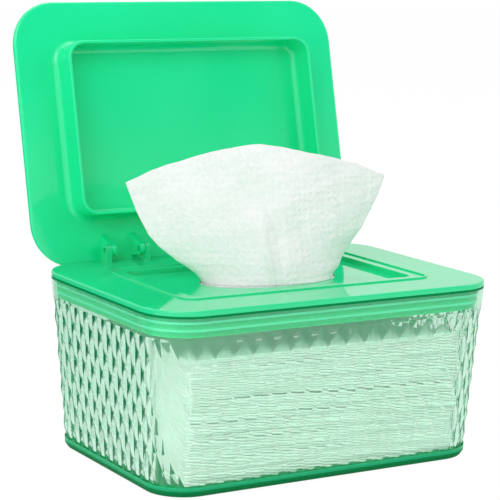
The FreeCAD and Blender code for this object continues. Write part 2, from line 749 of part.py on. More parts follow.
def popup_wipe():
    mouth_level = size["cover_top"] - size["well_depth"] - size["well_floor"]
    stack_top = size["tub_floor"] + WIPE_COUNT * size["wipe_thick"]
    tail_low = stack_top + size["tail_gap"]
    tail_high = tail_low + (mouth_level - tail_low) * TAIL_LIFT_SHARE
    sections = [fan_sizes(TAIL_FOOT_SHARES, tail_low), fan_sizes(TAIL_FOOT_SHARES, tail_high)]
    sections.append(fan_sizes(FAN_LEVEL_SHARES[0][1:], mouth_level))
    lip_level = size["cover_top"] - size["well_depth"]
    for shares in FAN_LEVEL_SHARES:
        sections.append(fan_sizes(shares[1:], lip_level + size["shoulder_rise"] * shares[0]))
    sheet = Part.makeLoft(sections, True, False)
    wipe = doc.addObject("Part::Feature", "PopupWipe")
    wipe.Label = "popup_wipe"
    wipe.Shape = sheet.cut(top_edge_cutter(lip_level))
    return wipe


# Building and writing


def build():
    pieces = [tub(), cover_frame(), cover_seal(), flip_lid()]
    pieces += [hinge_pin(side, end, label) for (side, end), label in zip(hinge_ends(), PIN_LABELS)]
    pieces += folded_wipes()
    pieces.append(popup_wipe())
    doc.recompute()
    return pieces


def check(pieces):
    """Stops if any object failed or any piece is not one sound solid."""
    for item in doc.Objects:
        if "Invalid" in item.State or "Error" in item.State:
            raise RuntimeError(f"{item.Name} failed: {item.State}")
    for piece in pieces:
        shape = piece.Shape
        if shape.isNull() or not shape.isValid() or len(shape.Solids) != 1:
            raise RuntimeError(f"{piece.Label} is not one sound solid")
        print(f"{piece.Label}: {shape.Volume / 1000:.2f} cm3, {len(shape.Faces)} faces")


def write(pieces):
    os.makedirs("parts", exist_ok=True)
    for piece in pieces:
        piece.Shape.exportStep(os.path.join("parts", f"{piece.Label}.step"))


pieces = build()
check(pieces)
write(pieces)
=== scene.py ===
"""Countertop wipes dispenser: materials, wipes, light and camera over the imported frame.

Shapes are worked out in millimetres, and MM turns them into metres.
"""
import math

import bpy
import numpy as np
from mathutils import Matrix, Vector

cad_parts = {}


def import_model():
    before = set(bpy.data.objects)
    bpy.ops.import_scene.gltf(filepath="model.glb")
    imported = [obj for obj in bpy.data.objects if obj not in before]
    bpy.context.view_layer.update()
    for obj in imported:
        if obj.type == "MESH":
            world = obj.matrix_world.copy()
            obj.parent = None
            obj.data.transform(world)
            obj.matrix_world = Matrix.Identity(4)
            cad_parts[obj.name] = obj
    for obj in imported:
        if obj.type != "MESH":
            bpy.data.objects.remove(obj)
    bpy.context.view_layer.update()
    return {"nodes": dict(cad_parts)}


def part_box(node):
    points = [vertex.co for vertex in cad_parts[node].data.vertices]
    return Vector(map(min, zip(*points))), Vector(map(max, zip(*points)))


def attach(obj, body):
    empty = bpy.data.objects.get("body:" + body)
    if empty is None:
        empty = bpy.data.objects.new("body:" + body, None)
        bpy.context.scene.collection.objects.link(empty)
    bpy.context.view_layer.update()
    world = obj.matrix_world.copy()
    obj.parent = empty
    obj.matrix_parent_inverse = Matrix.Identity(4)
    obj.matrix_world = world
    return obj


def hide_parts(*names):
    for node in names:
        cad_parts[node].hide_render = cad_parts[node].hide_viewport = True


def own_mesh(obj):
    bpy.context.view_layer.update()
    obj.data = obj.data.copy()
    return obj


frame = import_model()
nodes = frame["nodes"]
MM = 0.001
WHITE = (1.0, 1.0, 1.0)


# Node helpers


def new_material(name):
    """A material with one principled shader, wired to its output."""
    material = bpy.data.materials.new(name)
    material.use_nodes = True
    tree = material.node_tree
    tree.nodes.clear()
    output = tree.nodes.new("ShaderNodeOutputMaterial")
    shader = tree.nodes.new("ShaderNodeBsdfPrincipled")
    tree.links.new(shader.outputs[0], output.inputs["Surface"])
    return material, tree, shader


def output_of(tree):
    return next(item for item in tree.nodes if item.bl_idname == "ShaderNodeOutputMaterial")


def node(tree, kind, **values):
    """A new node; each value goes to its property of that name, or else to its input."""
    made = tree.nodes.new(kind)
    for key, value in values.items():
        if hasattr(made, key):
            setattr(made, key, value)
        else:
            made.inputs[key.replace("_", " ")].default_value = value
    return made


def maths(tree, operation, *values, clamp=False):
    """The result of a maths node; each value is a socket to link or a number."""
    made = node(tree, "ShaderNodeMath", operation=operation, use_clamp=clamp)
    for socket, value in zip(made.inputs, values):
        if isinstance(value, bpy.types.NodeSocket):
            tree.links.new(value, socket)
        else:
            socket.default_value = value
    return made.outputs[0]


def product(tree, first, second):
    return maths(tree, "MULTIPLY", first, second)


def parts_of(tree, vector):
    """The outputs X, Y and Z of a vector."""
    split = node(tree, "ShaderNodeSeparateXYZ")
    tree.links.new(vector, split.inputs[0])
    return split.outputs


def object_place(tree):
    """The place on the object, in metres."""
    return node(tree, "ShaderNodeTexCoord").outputs["Object"]


def noise(tree, scale, detail):
    """A smooth random value over the object; the scale is in patches per metre."""
    made = node(tree, "ShaderNodeTexNoise", Scale=scale, Detail=detail)
    tree.links.new(object_place(tree), made.inputs["Vector"])
    return made.outputs[0]


def ramp(tree, source, low, high, start, end):
    """From start to end while the source goes from low to high, and level beyond."""
    made = node(tree, "ShaderNodeMapRange")
    made.inputs["From Min"].default_value = low
    made.inputs["From Max"].default_value = high
    made.inputs["To Min"].default_value = start
    made.inputs["To Max"].default_value = end
    tree.links.new(source, made.inputs["Value"])
    return made.outputs[0]


def mix_colour(tree, factor, first, second):
    """The first colour where the factor is 0, and the second where it is 1."""
    made = node(tree, "ShaderNodeMix", data_type="RGBA")
    sockets = {socket.identifier: socket for socket in made.inputs}
    sockets["A_Color"].default_value = (*first, 1)
    sockets["B_Color"].default_value = (*second, 1)
    tree.links.new(factor, made.inputs[0])
    return next(socket for socket in made.outputs if socket.identifier == "Result_Color")


def mix_shader(tree, factor, first, second):
    """The first shader where the factor is 0, and the second where it is 1."""
    made = node(tree, "ShaderNodeMixShader")
    for socket, source in zip(made.inputs, (factor, first, second)):
        tree.links.new(source, socket)
    return made.outputs[0]


def bump(tree, shader, height, strength, distance):
    made = node(tree, "ShaderNodeBump", Strength=strength, Distance=distance)
    tree.links.new(height, made.inputs["Height"])
    tree.links.new(made.outputs[0], shader.inputs["Normal"])


def any_ray(tree, *names):
    """1 for rays of any of the named kinds, otherwise 0."""
    path = node(tree, "ShaderNodeLightPath")
    total = path.outputs[names[0]]
    for name in names[1:]:
        total = maths(tree, "ADD", total, path.outputs[name], clamp=True)
    return total


def seen_directly(tree):
    """1 for rays that show the background in the picture, in gloss and through the clear tub."""
    return any_ray(tree, "Is Camera Ray", "Is Glossy Ray", "Is Transmission Ray")


def mirrored(tree):
    """1 for rays that a surface throws back, 0 for those that it lets through."""
    path = node(tree, "ShaderNodeLightPath")
    glossy = path.outputs["Is Glossy Ray"]
    return maths(tree, "SUBTRACT", glossy, path.outputs["Is Transmission Ray"], clamp=True)


def toward(tree, vector, direction, low, high):
    """1 where a vector points the given way, otherwise 0; low and high are cosines at its soft edge."""
    unit = node(tree, "ShaderNodeVectorMath", operation="NORMALIZE")
    tree.links.new(vector, unit.inputs[0])
    dot = node(tree, "ShaderNodeVectorMath", operation="DOT_PRODUCT")
    dot.inputs[1].default_value = Vector(direction).normalized()
    tree.links.new(unit.outputs[0], dot.inputs[0])
    made = node(tree, "ShaderNodeMapRange", interpolation_type="SMOOTHSTEP")
    made.inputs["From Min"].default_value = low
    made.inputs["From Max"].default_value = high
    tree.links.new(dot.outputs["Value"], made.inputs["Value"])
    return made.outputs[0]


# Green plastic and rubber

# The values between which most of a noise lies
NOISE_SPAN = (0.3, 0.7)
CLOUD_SPAN = (0.35, 0.65)
CLOUD_SCALE = 9.0
SMEAR_SCALE = 38.0
# The roughest smear is this many times as rough as the smoothest
SMEAR_ROUGHER = 1.5
PEEL_SCALE = 420.0
PEEL_STRENGTH = 0.02
PEEL_HEIGHT = 0.4 * MM
PLASTIC_IOR = 1.5
COAT_ROUGH = 0.03
# The cosines between which a lip's painted highlight turns from deep to pale
LIP_HIGHLIGHT_SPAN = (-0.1, 0.8)


def moulded(name, rough, coat):
    """Moulded plastic with faint smears and orange peel, without its colour."""
    material, tree, shader = new_material(name)
    smear = noise(tree, SMEAR_SCALE, detail=4.0)
    tree.links.new(ramp(tree, smear, *NOISE_SPAN, rough, rough * SMEAR_ROUGHER), shader.inputs["Roughness"])
    bump(tree, shader, noise(tree, PEEL_SCALE, detail=1.0), PEEL_STRENGTH, PEEL_HEIGHT)
    shader.inputs["IOR"].default_value = PLASTIC_IOR
    shader.inputs["Coat Weight"].default_value = coat
    shader.inputs["Coat Roughness"].default_value = COAT_ROUGH
    return material, tree, shader


def clouded(name, deep, pale, rough, coat):
    """Moulded plastic whose colour drifts a little over the piece."""
    material, tree, shader = moulded(name, rough, coat)
    cloud = ramp(tree, noise(tree, CLOUD_SCALE, detail=2.0), *CLOUD_SPAN, 0, 1)
    tree.links.new(mix_colour(tree, cloud, deep, pale), shader.inputs["Base Color"])
    return material


def lip_highlighted(name, deep, pale, rough, middle, pitch):
    """Moulded rubber with a painted highlight on each lip: paler stripes at a steady pitch in height."""
    material, tree, shader = moulded(name, rough, coat=0.0)
    turns = 2 * math.pi / pitch
    angle = maths(tree, "MULTIPLY_ADD", parts_of(tree, object_place(tree))["Z"], turns, -turns * middle)
    # Painted highlight: paler stripes stand in for light caught by the seal's lips
    lip_highlight = ramp(tree, maths(tree, "COSINE", angle), *LIP_HIGHLIGHT_SPAN, 0, 1)
    tree.links.new(mix_colour(tree, lip_highlight, deep, pale), shader.inputs["Base Color"])
    return material


# Clear plastic

TUB_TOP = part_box("tub")[1][2]
TUB_TINT = (0.96, 0.995, 0.975, 1)
TUB_SHADOW_TINT = (0.995, 1.0, 0.99, 1)
TUB_IOR = 1.55
TUB_SMEAR_SCALE = 30.0
TUB_ROUGH = (0.015, 0.05)
# The colour that white light takes on in a thick wall, and how fast it does
TUB_SOAK_COLOUR = (0.0, 0.96, 0.50, 1)
TUB_SOAK_DENSITY = 70.0
MILK_PALE = (0.012, 0.56, 0.24)
MILK_PAINTED_SHADE = (0.001, 0.21, 0.06)
# Heights between which the painted shade of the foot and of the bed ends, the painted shadow under the rim
# begins, and the milk clears
FOOT_SHADE_END = (2.6 * MM, 3.4 * MM)
BED_SHADE_END = (8.0 * MM, 12.0 * MM)
RIM_SHADOW_START = (TUB_TOP - 1.6 * MM, TUB_TOP - 1.0 * MM)
CLEARING = (4.0 * MM, 5.6 * MM)
# The upward share of a face's normal at which the face begins to be bed, which takes painted shade, and is
# all bed
LEVEL_SPAN = (0.6, 0.9)
MILK_AT_FOOT = 0.70
MILK_ABOVE = 0.08
MILK_WHERE_SHADED = 0.92


def clear_plastic():
    """Clear tinted plastic; a small milky share keeps trapped light green instead of black. Its dark share
    is painted shade at the foot and on the tub's floor by the stack, and a painted shadow under the rim.
    """
    material, tree, shader = new_material("clear_green_plastic")
    shader.inputs["Base Color"].default_value = TUB_TINT
    shader.inputs["Transmission Weight"].default_value = 1.0
    shader.inputs["IOR"].default_value = TUB_IOR
    smear = noise(tree, TUB_SMEAR_SCALE, detail=3.0)
    tree.links.new(ramp(tree, smear, *NOISE_SPAN, *TUB_ROUGH), shader.inputs["Roughness"])

    height = parts_of(tree, object_place(tree))["Z"]
    normal = node(tree, "ShaderNodeNewGeometry").outputs["Normal"]
    level = ramp(tree, parts_of(tree, normal)["Z"], *LEVEL_SPAN, 0, 1)
    # Painted shade: the milk turns dark on the tub's floor by the stack and at the foot, and as a painted
    # shadow under the rim
    bed_shade = product(tree, level, ramp(tree, height, *BED_SHADE_END, 1, 0))
    foot = ramp(tree, height, *FOOT_SHADE_END, 1, 0)
    rim_shadow = ramp(tree, height, *RIM_SHADOW_START, 0, 1)
    painted_shade = maths(tree, "MAXIMUM", bed_shade, maths(tree, "MAXIMUM", foot, rim_shadow))
    milk = node(tree, "ShaderNodeBsdfDiffuse")
    tree.links.new(mix_colour(tree, painted_shade, MILK_PALE, MILK_PAINTED_SHADE), milk.inputs["Color"])
    by_height = ramp(tree, height, *CLEARING, MILK_AT_FOOT, MILK_ABOVE)
    by_painted_shade = ramp(tree, painted_shade, 0, 1, 0, MILK_WHERE_SHADED)
    cloudy = maths(tree, "MAXIMUM", by_height, by_painted_shade)
    tinted = mix_shader(tree, cloudy, shader.outputs[0], milk.outputs[0])

    clear = node(tree, "ShaderNodeBsdfTransparent")
    clear.inputs["Color"].default_value = TUB_SHADOW_TINT
    shadow = node(tree, "ShaderNodeLightPath").outputs["Is Shadow Ray"]
    output = output_of(tree)
    tree.links.new(mix_shader(tree, shadow, tinted, clear.outputs[0]), output.inputs["Surface"])
    soak = node(tree, "ShaderNodeVolumeAbsorption")
    soak.inputs["Color"].default_value = TUB_SOAK_COLOUR
    soak.inputs["Density"].default_value = TUB_SOAK_DENSITY
    tree.links.new(soak.outputs[0], output.inputs["Volume"])
    return material


# Cloth

FIBRE_SCALE = 620.0
DOT_PITCH = 3.4 * MM
DOT_STRAY = 0.25
DOT_SPAN = (0.15, 0.55)
CLOTH_CLOUD_SPAN = (0.36, 0.62)
# Shares of the pale colour that the clouds and the fibres add
CLOTH_CLOUD_SHARE = (0.0, 0.65)
CLOTH_FIBRE_SHARE = (-0.1, 0.5)
CLOTH_ROUGH = (0.75, 0.95)
CLOTH_RELIEF = 0.6 * MM
CLOTH_DEPTH = 2.0 * MM
CLOTH_SHEEN = 0.25
CLOTH_SHEEN_ROUGH = 0.5
CLOTH_SPECULAR = 0.2


def nonwoven(name, deep, pale, patch, dots, relief, through):
    """Soft wet-wipe cloth: embossed dots, fine fibres and cloudy patches of deeper colour."""
    material, tree, shader = new_material(name)
    cloud = ramp(tree, noise(tree, patch, detail=3.0), *CLOTH_CLOUD_SPAN, *CLOTH_CLOUD_SHARE)
    fibres = noise(tree, FIBRE_SCALE, detail=2.0)
    threads = ramp(tree, fibres, *NOISE_SPAN, *CLOTH_FIBRE_SHARE)
    mottle = maths(tree, "ADD", cloud, threads, clamp=True)
    tree.links.new(mix_colour(tree, mottle, deep, pale), shader.inputs["Base Color"])
    tree.links.new(ramp(tree, fibres, *NOISE_SPAN, *CLOTH_ROUGH), shader.inputs["Roughness"])
    pits = node(tree, "ShaderNodeTexVoronoi", Scale=1 / DOT_PITCH, Randomness=DOT_STRAY)
    tree.links.new(object_place(tree), pits.inputs["Vector"])
    pit = ramp(tree, pits.outputs["Distance"], *DOT_SPAN, 0, 1)
    bump(tree, shader, maths(tree, "MULTIPLY_ADD", pit, dots, fibres), relief, CLOTH_RELIEF)
    shader.inputs["Sheen Weight"].default_value = CLOTH_SHEEN
    shader.inputs["Sheen Roughness"].default_value = CLOTH_SHEEN_ROUGH
    shader.inputs["Specular IOR Level"].default_value = CLOTH_SPECULAR
    shader.inputs["Subsurface Weight"].default_value = through
    shader.inputs["Subsurface Radius"].default_value = (CLOTH_DEPTH, CLOTH_DEPTH, CLOTH_DEPTH)
    shader.inputs["Subsurface Scale"].default_value = 1.0
    return material


# What each CAD piece wears

LIP_PITCH = 3.6 * MM
# The middle of the painted lip highlights lies this far under the seal's top
LIP_HIGHLIGHT_DROP = 1.9 * MM

glossy_lid = clouded(
    "glossy_green_lid", (0.004, 0.72, 0.295), (0.006, 0.78, 0.335), rough=0.12, coat=0.35
)
glossy_cover = clouded(
    "glossy_green_cover", (0.017, 0.63, 0.255), (0.020, 0.68, 0.29), rough=0.045, coat=0.0
)
pin_plastic = clouded(
    "green_pin", (0.004, 0.42, 0.15), (0.006, 0.48, 0.18), rough=0.25, coat=0.0
)
seal_rubber = lip_highlighted(
    "pale_green_seal", (0.008, 0.62, 0.27), (0.14, 0.86, 0.56), rough=0.30,
    middle=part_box("cover_seal")[1][2] - LIP_HIGHLIGHT_DROP, pitch=LIP_PITCH,
)
tub_plastic = clear_plastic()
popup_cloth = nonwoven(
    "popup_nonwoven", (0.775, 0.79, 0.775), (0.92, 0.86, 0.885),
    patch=24.0, dots=0.5, relief=0.6, through=0.15,
)
stack_cloth = nonwoven(
    "stack_nonwoven", (0.97, 0.94, 0.93), (1.0, 0.985, 0.98),
    patch=55.0, dots=0.4, relief=0.12, through=0.35,
)


def wear(name, material):
    piece = nodes[name]
    piece.data.materials.clear()
    piece.data.materials.append(material)


wear("tub", tub_plastic)
wear("cover_frame", glossy_cover)
wear("cover_seal", seal_rubber)
wear("flip_lid", glossy_lid)
for pin in ("left_outer", "left_inner", "right_inner", "right_outer"):
    wear(f"hinge_pin_{pin}", pin_plastic)


# Mesh helpers


def grid_mesh(name, points, material, body, thick):
    """A sheet from rows of points in millimetres, given real thickness."""
    rows, columns = points.shape[:2]
    mesh = bpy.data.meshes.new(name)
    faces = []
    for row in range(rows - 1):
        for column in range(columns - 1):
            first = row * columns + column
            faces.append((first, first + 1, first + columns + 1, first + columns))
    mesh.from_pydata((points.reshape(-1, 3) * MM).tolist(), [], faces)
    mesh.polygons.foreach_set("use_smooth", [True] * len(mesh.polygons))
    mesh.materials.append(material)
    mesh.update()
    piece = bpy.data.objects.new(name, mesh)
    bpy.context.scene.collection.objects.link(piece)
    solid = piece.modifiers.new("thickness", "SOLIDIFY")
    solid.thickness = thick * MM
    solid.offset = 0
    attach(piece, body)
    return piece


def waves(x, seed, lengths, heights):
    """Smooth seeded wave of x in millimetres."""
    random = np.random.default_rng(seed)
    total = np.zeros_like(x, dtype=float)
    for length, height in zip(lengths, heights):
        total = total + height * np.sin(2 * np.pi * (x / length + random.random()))
    return total


def bell(value, middle, width):
    """1 at the middle, and falling to nothing on both sides."""
    return np.exp(-((value - middle) / width) ** 2)


# The wipe in the mouth, its fan above and its tail below

LIP = 87.1
MOUTH_Y = -1.2
POPUP_THICK = 0.42
FAN_COLUMNS = 190
FAN_ROWS = 110
TAIL_COLUMNS = 120
TAIL_ROWS = 40
FAN_TALL = 69.0
FAN_TURN = 18.0
# How far the cloth reaches to each side at a height over the lip
LEFT_EDGE = (
    (0.0, 35.0), (1.5, 35.8), (4, 37.6), (8, 42.8), (11, 47.6),
    (18.5, 56.8), (24, 61.6), (34, 66.6), (49, 72.3), (60, 75.2),
)
RIGHT_EDGE = (
    (0.0, 33.6), (2.5, 34.8), (5, 38.0), (13.5, 42.8), (24, 50.4), (41.5, 58.9), (50.5, 62.0), (60, 65.0),
)
# Height of the top edge at a reach, from left to right
TOP_EDGE = (
    (-80, 46.0), (-73, 48.8), (-60, 55.2), (-49, 58.9), (-36, 63.0), (-24, 66.2), (-12, 68.2),
    (-7, 68.5), (0, 67.8), (8.8, 65.8), (22, 63.0), (36, 59.8), (49, 55.6), (60.8, 50.5), (69, 46.0),
)
# How far the middle stands forward at a height, and the shares there of the fan's turn and folds
BULGE = ((0, 19.3), (3, 18.6), (10, 16.4), (20, 13.0), (34, 9.0), (49, 6.6), (69, 4.0))
TURN_SHARES = ((0, 0.5), (10, 0.62), (20, 0.75), (34, 0.9), (49, 1.0), (69, 1.05))
FOLD_SHARES = ((0, 0.35), (10, 0.5), (20, 0.7), (34, 0.95), (49, 1.1), (69, 1.2))
TABLE_SAMPLES = 241
TABLE_BLUR = 9
SETTLE_START = 55.0
SETTLE_STEPS = 40
# Broad swells across the fan: size, turns from side to side, phase
SWELLS = ((1.25, 2.6, 2.2), (1.75, 5.2, 0.3 + math.pi / 2))
# Creases and dents: size forward, then middle and width across, and middle and width in height,
# as shares of the reach and of the fan's height
FOLDS = (
    (2.8, -0.12, 0.04, 0.22, 0.24),
    (-2.6, 0.02, 0.07, 0.22, 0.24),
    (-2.8, -0.12, 0.16, 0.62, 0.16),
    (-2.3, 0.18, 0.20, 0.34, 0.12),
)
# The flap at the right bends back beyond this share of the reach, and more toward the top
FLAP_START = 0.58
FLAP_SOFT = 0.075
FLAP_BACK = 1.45
PLEAT = 0.35
PLEAT_MIDDLE = 0.12
PLEAT_WIDTH = 0.25
PLEAT_TURNS = 11
# Fine waves of the cloth and its ragged top edge, with each side taken as 60 wide
CLOTH_SIDE = 60
FINE_HEIGHTS = (0.05, 0.07, 0.1)
FINE_ACROSS_LENGTHS = (5.3, 8.1, 13.0)
FINE_ACROSS_SLANT = 0.35
FINE_UP_LENGTHS = (6.1, 11.0, 17.0)
FINE_UP_SLANT = 22
RAGGED_HEIGHTS = (0.05, 0.10)
RAGGED_LENGTHS = (9.0, 17.0)
# Heights over the lip at which the bulge has turned from an ellipse into a parabola, the folds
# are full and the fine waves have their stated height; the waves still grow to the last figure
PARABOLA_RISE = 16
FOLD_RISE = 9
FINE_RISE = 30
FINE_MOST = 1.2
# The tail's half width and what it loses toward its foot, its bulge and the wave across it, which
# both flatten by a share on the way down, and how far over the stack it ends
TAIL_REACH = 34.0
TAIL_NARROWING = 3.0
TAIL_BULGE = 5.5
TAIL_WAVE = 1.0
TAIL_TURNS = 7
TAIL_FLATTENING = 0.65
TAIL_CLEARANCE = 0.7


def smooth_table(table, value):
    """The table's figure at a value, with the table's corners rounded."""
    places = [row[0] for row in table]
    figures = [row[1] for row in table]
    fine = np.linspace(places[0], places[-1], TABLE_SAMPLES)
    rough = np.interp(fine, places, figures)
    kernel = np.hanning(TABLE_BLUR + 2)[1:-1]
    kernel /= kernel.sum()
    before = 2 * rough[0] - rough[TABLE_BLUR:0:-1]
    after = 2 * rough[-1] - rough[-2:-TABLE_BLUR - 2:-1]
    longer = np.concatenate([before, rough, after])
    soft = np.convolve(longer, kernel, "same")[TABLE_BLUR:-TABLE_BLUR]
    return np.interp(value, fine, soft)


def fan_reach(s, rise):
    """How far the cloth reaches to the side of s at a height over the lip."""
    return np.where(s < 0, smooth_table(LEFT_EDGE, rise), smooth_table(RIGHT_EDGE, rise))


def fan_tops(s):
    """Height of the top edge at each s, settled step by step, because the reach grows with it."""
    top = np.full(len(s), SETTLE_START)
    for _ in range(SETTLE_STEPS):
        top = 0.5 * top + 0.5 * smooth_table(TOP_EDGE, fan_reach(s, top) * s)
    return top


def fan_stand(s, rise):
    """How far the cloth stands toward the front of its bulge."""
    share = rise / FAN_TALL
    stand = sum(size * np.sin(turns * s + phase) for size, turns, phase in SWELLS)
    for size, across, wide, up, tall in FOLDS:
        stand = stand + size * bell(s, across, wide) * bell(share, up, tall)
    flap = FLAP_BACK * np.log1p(np.exp((s - FLAP_START) / FLAP_SOFT)) * (0.5 + share)
    pleats = PLEAT * bell(share, PLEAT_MIDDLE, PLEAT_WIDTH) * np.sin(PLEAT_TURNS * s + 1.0)
    return stand - flap + pleats


def fine_waves(s, rise):
    """Fine waves that run across the cloth and up it."""
    across = s * CLOTH_SIDE + rise * FINE_ACROSS_SLANT
    upward = rise - s * FINE_UP_SLANT
    total = waves(across, seed=11, lengths=FINE_ACROSS_LENGTHS, heights=FINE_HEIGHTS)
    return total + waves(upward, seed=12, lengths=FINE_UP_LENGTHS, heights=FINE_HEIGHTS)


def fan_points(columns, rows):
    """Rows of points from the lip up; s runs from -1 at the left edge to 1 at the right."""
    s = np.linspace(-1, 1, columns)
    points = np.zeros((rows, columns, 3))
    ragged = waves(s * CLOTH_SIDE, seed=5, lengths=RAGGED_LENGTHS, heights=RAGGED_HEIGHTS)
    top = fan_tops(s) + ragged
    for row in range(rows):
        rise = top * row / (rows - 1)
        turn = np.radians(FAN_TURN * smooth_table(TURN_SHARES, rise))
        rounder = 0.5 + 0.5 * np.clip(rise / PARABOLA_RISE, 0, 1)
        bulge = smooth_table(BULGE, rise) * (1 - s * s) ** rounder
        folds = smooth_table(FOLD_SHARES, rise) * np.clip(rise / FOLD_RISE, 0, 1)
        fine = fine_waves(s, rise) * np.clip(rise / FINE_RISE, 0, FINE_MOST)
        front = bulge + fan_stand(s, rise) * folds + fine
        along = fan_reach(s, rise) * s
        points[row, :, 0] = along * np.cos(turn) - front * np.sin(turn)
        points[row, :, 1] = MOUTH_Y - along * np.sin(turn) - front * np.cos(turn)
        points[row, :, 2] = LIP + rise
    return points


def tail_points(columns, rows, foot):
    """Rows of points from the fan's lowest row down to the foot, where the cloth hangs flatter."""
    s = np.linspace(-1, 1, columns)
    top = fan_points(columns, 2)[0]
    points = np.zeros((rows, columns, 3))
    for row in range(rows):
        v = row / (rows - 1)
        ease = v * v * (3 - 2 * v)
        reach = TAIL_REACH - TAIL_NARROWING * ease
        shut = 1 - TAIL_FLATTENING * ease
        low = MOUTH_Y - TAIL_BULGE * (1 - s * s) * shut - TAIL_WAVE * np.sin(TAIL_TURNS * s) * shut
        points[row, :, 0] = top[:, 0] * (1 - ease) + reach * s * ease
        points[row, :, 1] = top[:, 1] * (1 - ease) + low * ease
        points[row, :, 2] = LIP + (foot - LIP) * v
    return points


stack_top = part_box("folded_wipe_22")[1][2] / MM
fan_grid = fan_points(FAN_COLUMNS, FAN_ROWS)
tail_grid = tail_points(TAIL_COLUMNS, TAIL_ROWS, stack_top + TAIL_CLEARANCE)
fan = grid_mesh("popup_fan", fan_grid, popup_cloth, "cover", POPUP_THICK)
tail = grid_mesh("popup_tail", tail_grid, popup_cloth, "cover", POPUP_THICK)
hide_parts("popup_wipe")
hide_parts("popup_wipe")


# The folded wipes

COUNT = 22
PLIES = 4
PLY_THICK = 0.58
TUB_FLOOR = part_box("folded_wipe_01")[0][2] / MM
WIPE_THICK = (stack_top - TUB_FLOOR) / COUNT
WIPE_COLUMNS = 56
PLY_STEPS = 11
BEND_STEPS = (0.2, 0.5, 0.8)
# The stack leans to the front by this share of its height, as the wall before it does
SLUMP = 0.065
# The layers lie tilted by up to this height, higher at the left and lower toward the right
TILT = 7.5
TILT_LEFT = 0.34
TILT_FALL = 0.88
TILT_START = -70
TILT_LENGTH = 146
TILT_CURVE = 1.5
# Waves of a layer: height, length by 2 pi, shift from one wipe to the next, phase
WAVES_ACROSS = ((0.55, 24.0, 0.22, 1.0), (0.22, 11.0, -0.35, 2.0))
WAVES_INWARD = ((0.45, 17.0, 0.3, 0.0),)
WAVES_SLANT = ((0.15, 13.0, 0.6, 0.0),)
WAVE_SHARE = 0.9
# The layers curl up at the stack's left end
CURL = 1.8
CURL_END = -77
CURL_LENGTH = 6.0
# Joints that stand open at the front: wipes under it, left end, right end, half height
GAPS = (
    (14, -58, 76, 0.42), (10, -68, -34, 0.38), (11, -19, 18, 0.30), (7, -68, 0, 0.28), (20, -42, -2, 0.26),
    (19, -12, 5, 0.18), (8, -72, -44, 0.22), (17, 20, 66, 0.12), (4, -60, 10, 0.14), (12, 30, 68, 0.12),
)
GAP_SOFT = 3.0
GAP_INWARD = 16.0
# Every joint stands open by a little that comes and goes: half height, length by 2 pi, shift
LEAST_GAP = 0.035
LEAST_GAP_LENGTH = 19.0
LEAST_GAP_SHIFT = 1.9
# A fold's edge strays in and out by these waves, less and less over a share of the depth:
# size, turns across
STRAYS = ((0.40, 9), (0.16, 23))
STRAY_DEPTH_SHARE = 0.12
# The plies' ends stray by this at the sides; their bends start at an inset and stand out from it
SIDE_STRAY = 0.5
FOLD_INSET = 1.1
BEND_OUT = 0.55
PHASE_RANGE = 50
FIRST_SEED = 100
PLY_WAVE = 0.03
PLY_WAVE_LENGTH = 3.1
PLY_WAVE_SHIFT = 2.0


def drifting(place, u, table):
    """Sum of a table's waves at a place, for the surface that has u wipes under it."""
    return sum(tall * np.sin(place / length + shift * u + phase) for tall, length, shift, phase in table)


def boundary(u, x, y):
    """Height of the surface that has u wipes of the stack under it."""
    lean = np.sin(np.pi * u / COUNT)
    along = np.clip((x - TILT_START) / TILT_LENGTH, 0, 1)
    tilt = TILT * lean * (TILT_LEFT - TILT_FALL * along ** TILT_CURVE)
    wave = drifting(x, u, WAVES_ACROSS) + drifting(y, u, WAVES_INWARD) + drifting(x + y, u, WAVES_SLANT)
    curl = CURL * lean * np.exp((CURL_END - x) / CURL_LENGTH)
    return TUB_FLOOR + WIPE_THICK * u + tilt + wave * np.sqrt(lean) * WAVE_SHARE + curl


def gap(u, x, y, front):
    """Half the open height at that surface, which closes from the front inward."""
    if not 0 < u < COUNT:
        return np.zeros_like(x)
    total = LEAST_GAP * (1 + np.sin(x / LEAST_GAP_LENGTH + u * LEAST_GAP_SHIFT))
    for under, left, right, half in GAPS:
        if under == u:
            rise = 1 / (1 + np.exp((left - x) / GAP_SOFT)) / (1 + np.exp((x - right) / GAP_SOFT))
            total = total + half * rise
    return total * np.exp(-np.maximum(y - front, 0) / GAP_INWARD)


def fold_path():
    """Places along a wipe folded to and fro: share of the depth, level in plies, bend, ply."""
    path = []
    for ply in range(PLIES):
        to_front = ply % 2 == 0
        for share in np.linspace(0, 1, PLY_STEPS):
            path.append((1 - share if to_front else share, ply + 0.5, 0.0, ply))
        if ply < PLIES - 1:
            end = 0.0 if to_front else 1.0
            for bend in BEND_STEPS:
                path.append((end, ply + 0.5 + bend, math.sin(math.pi * bend), ply))
    return path


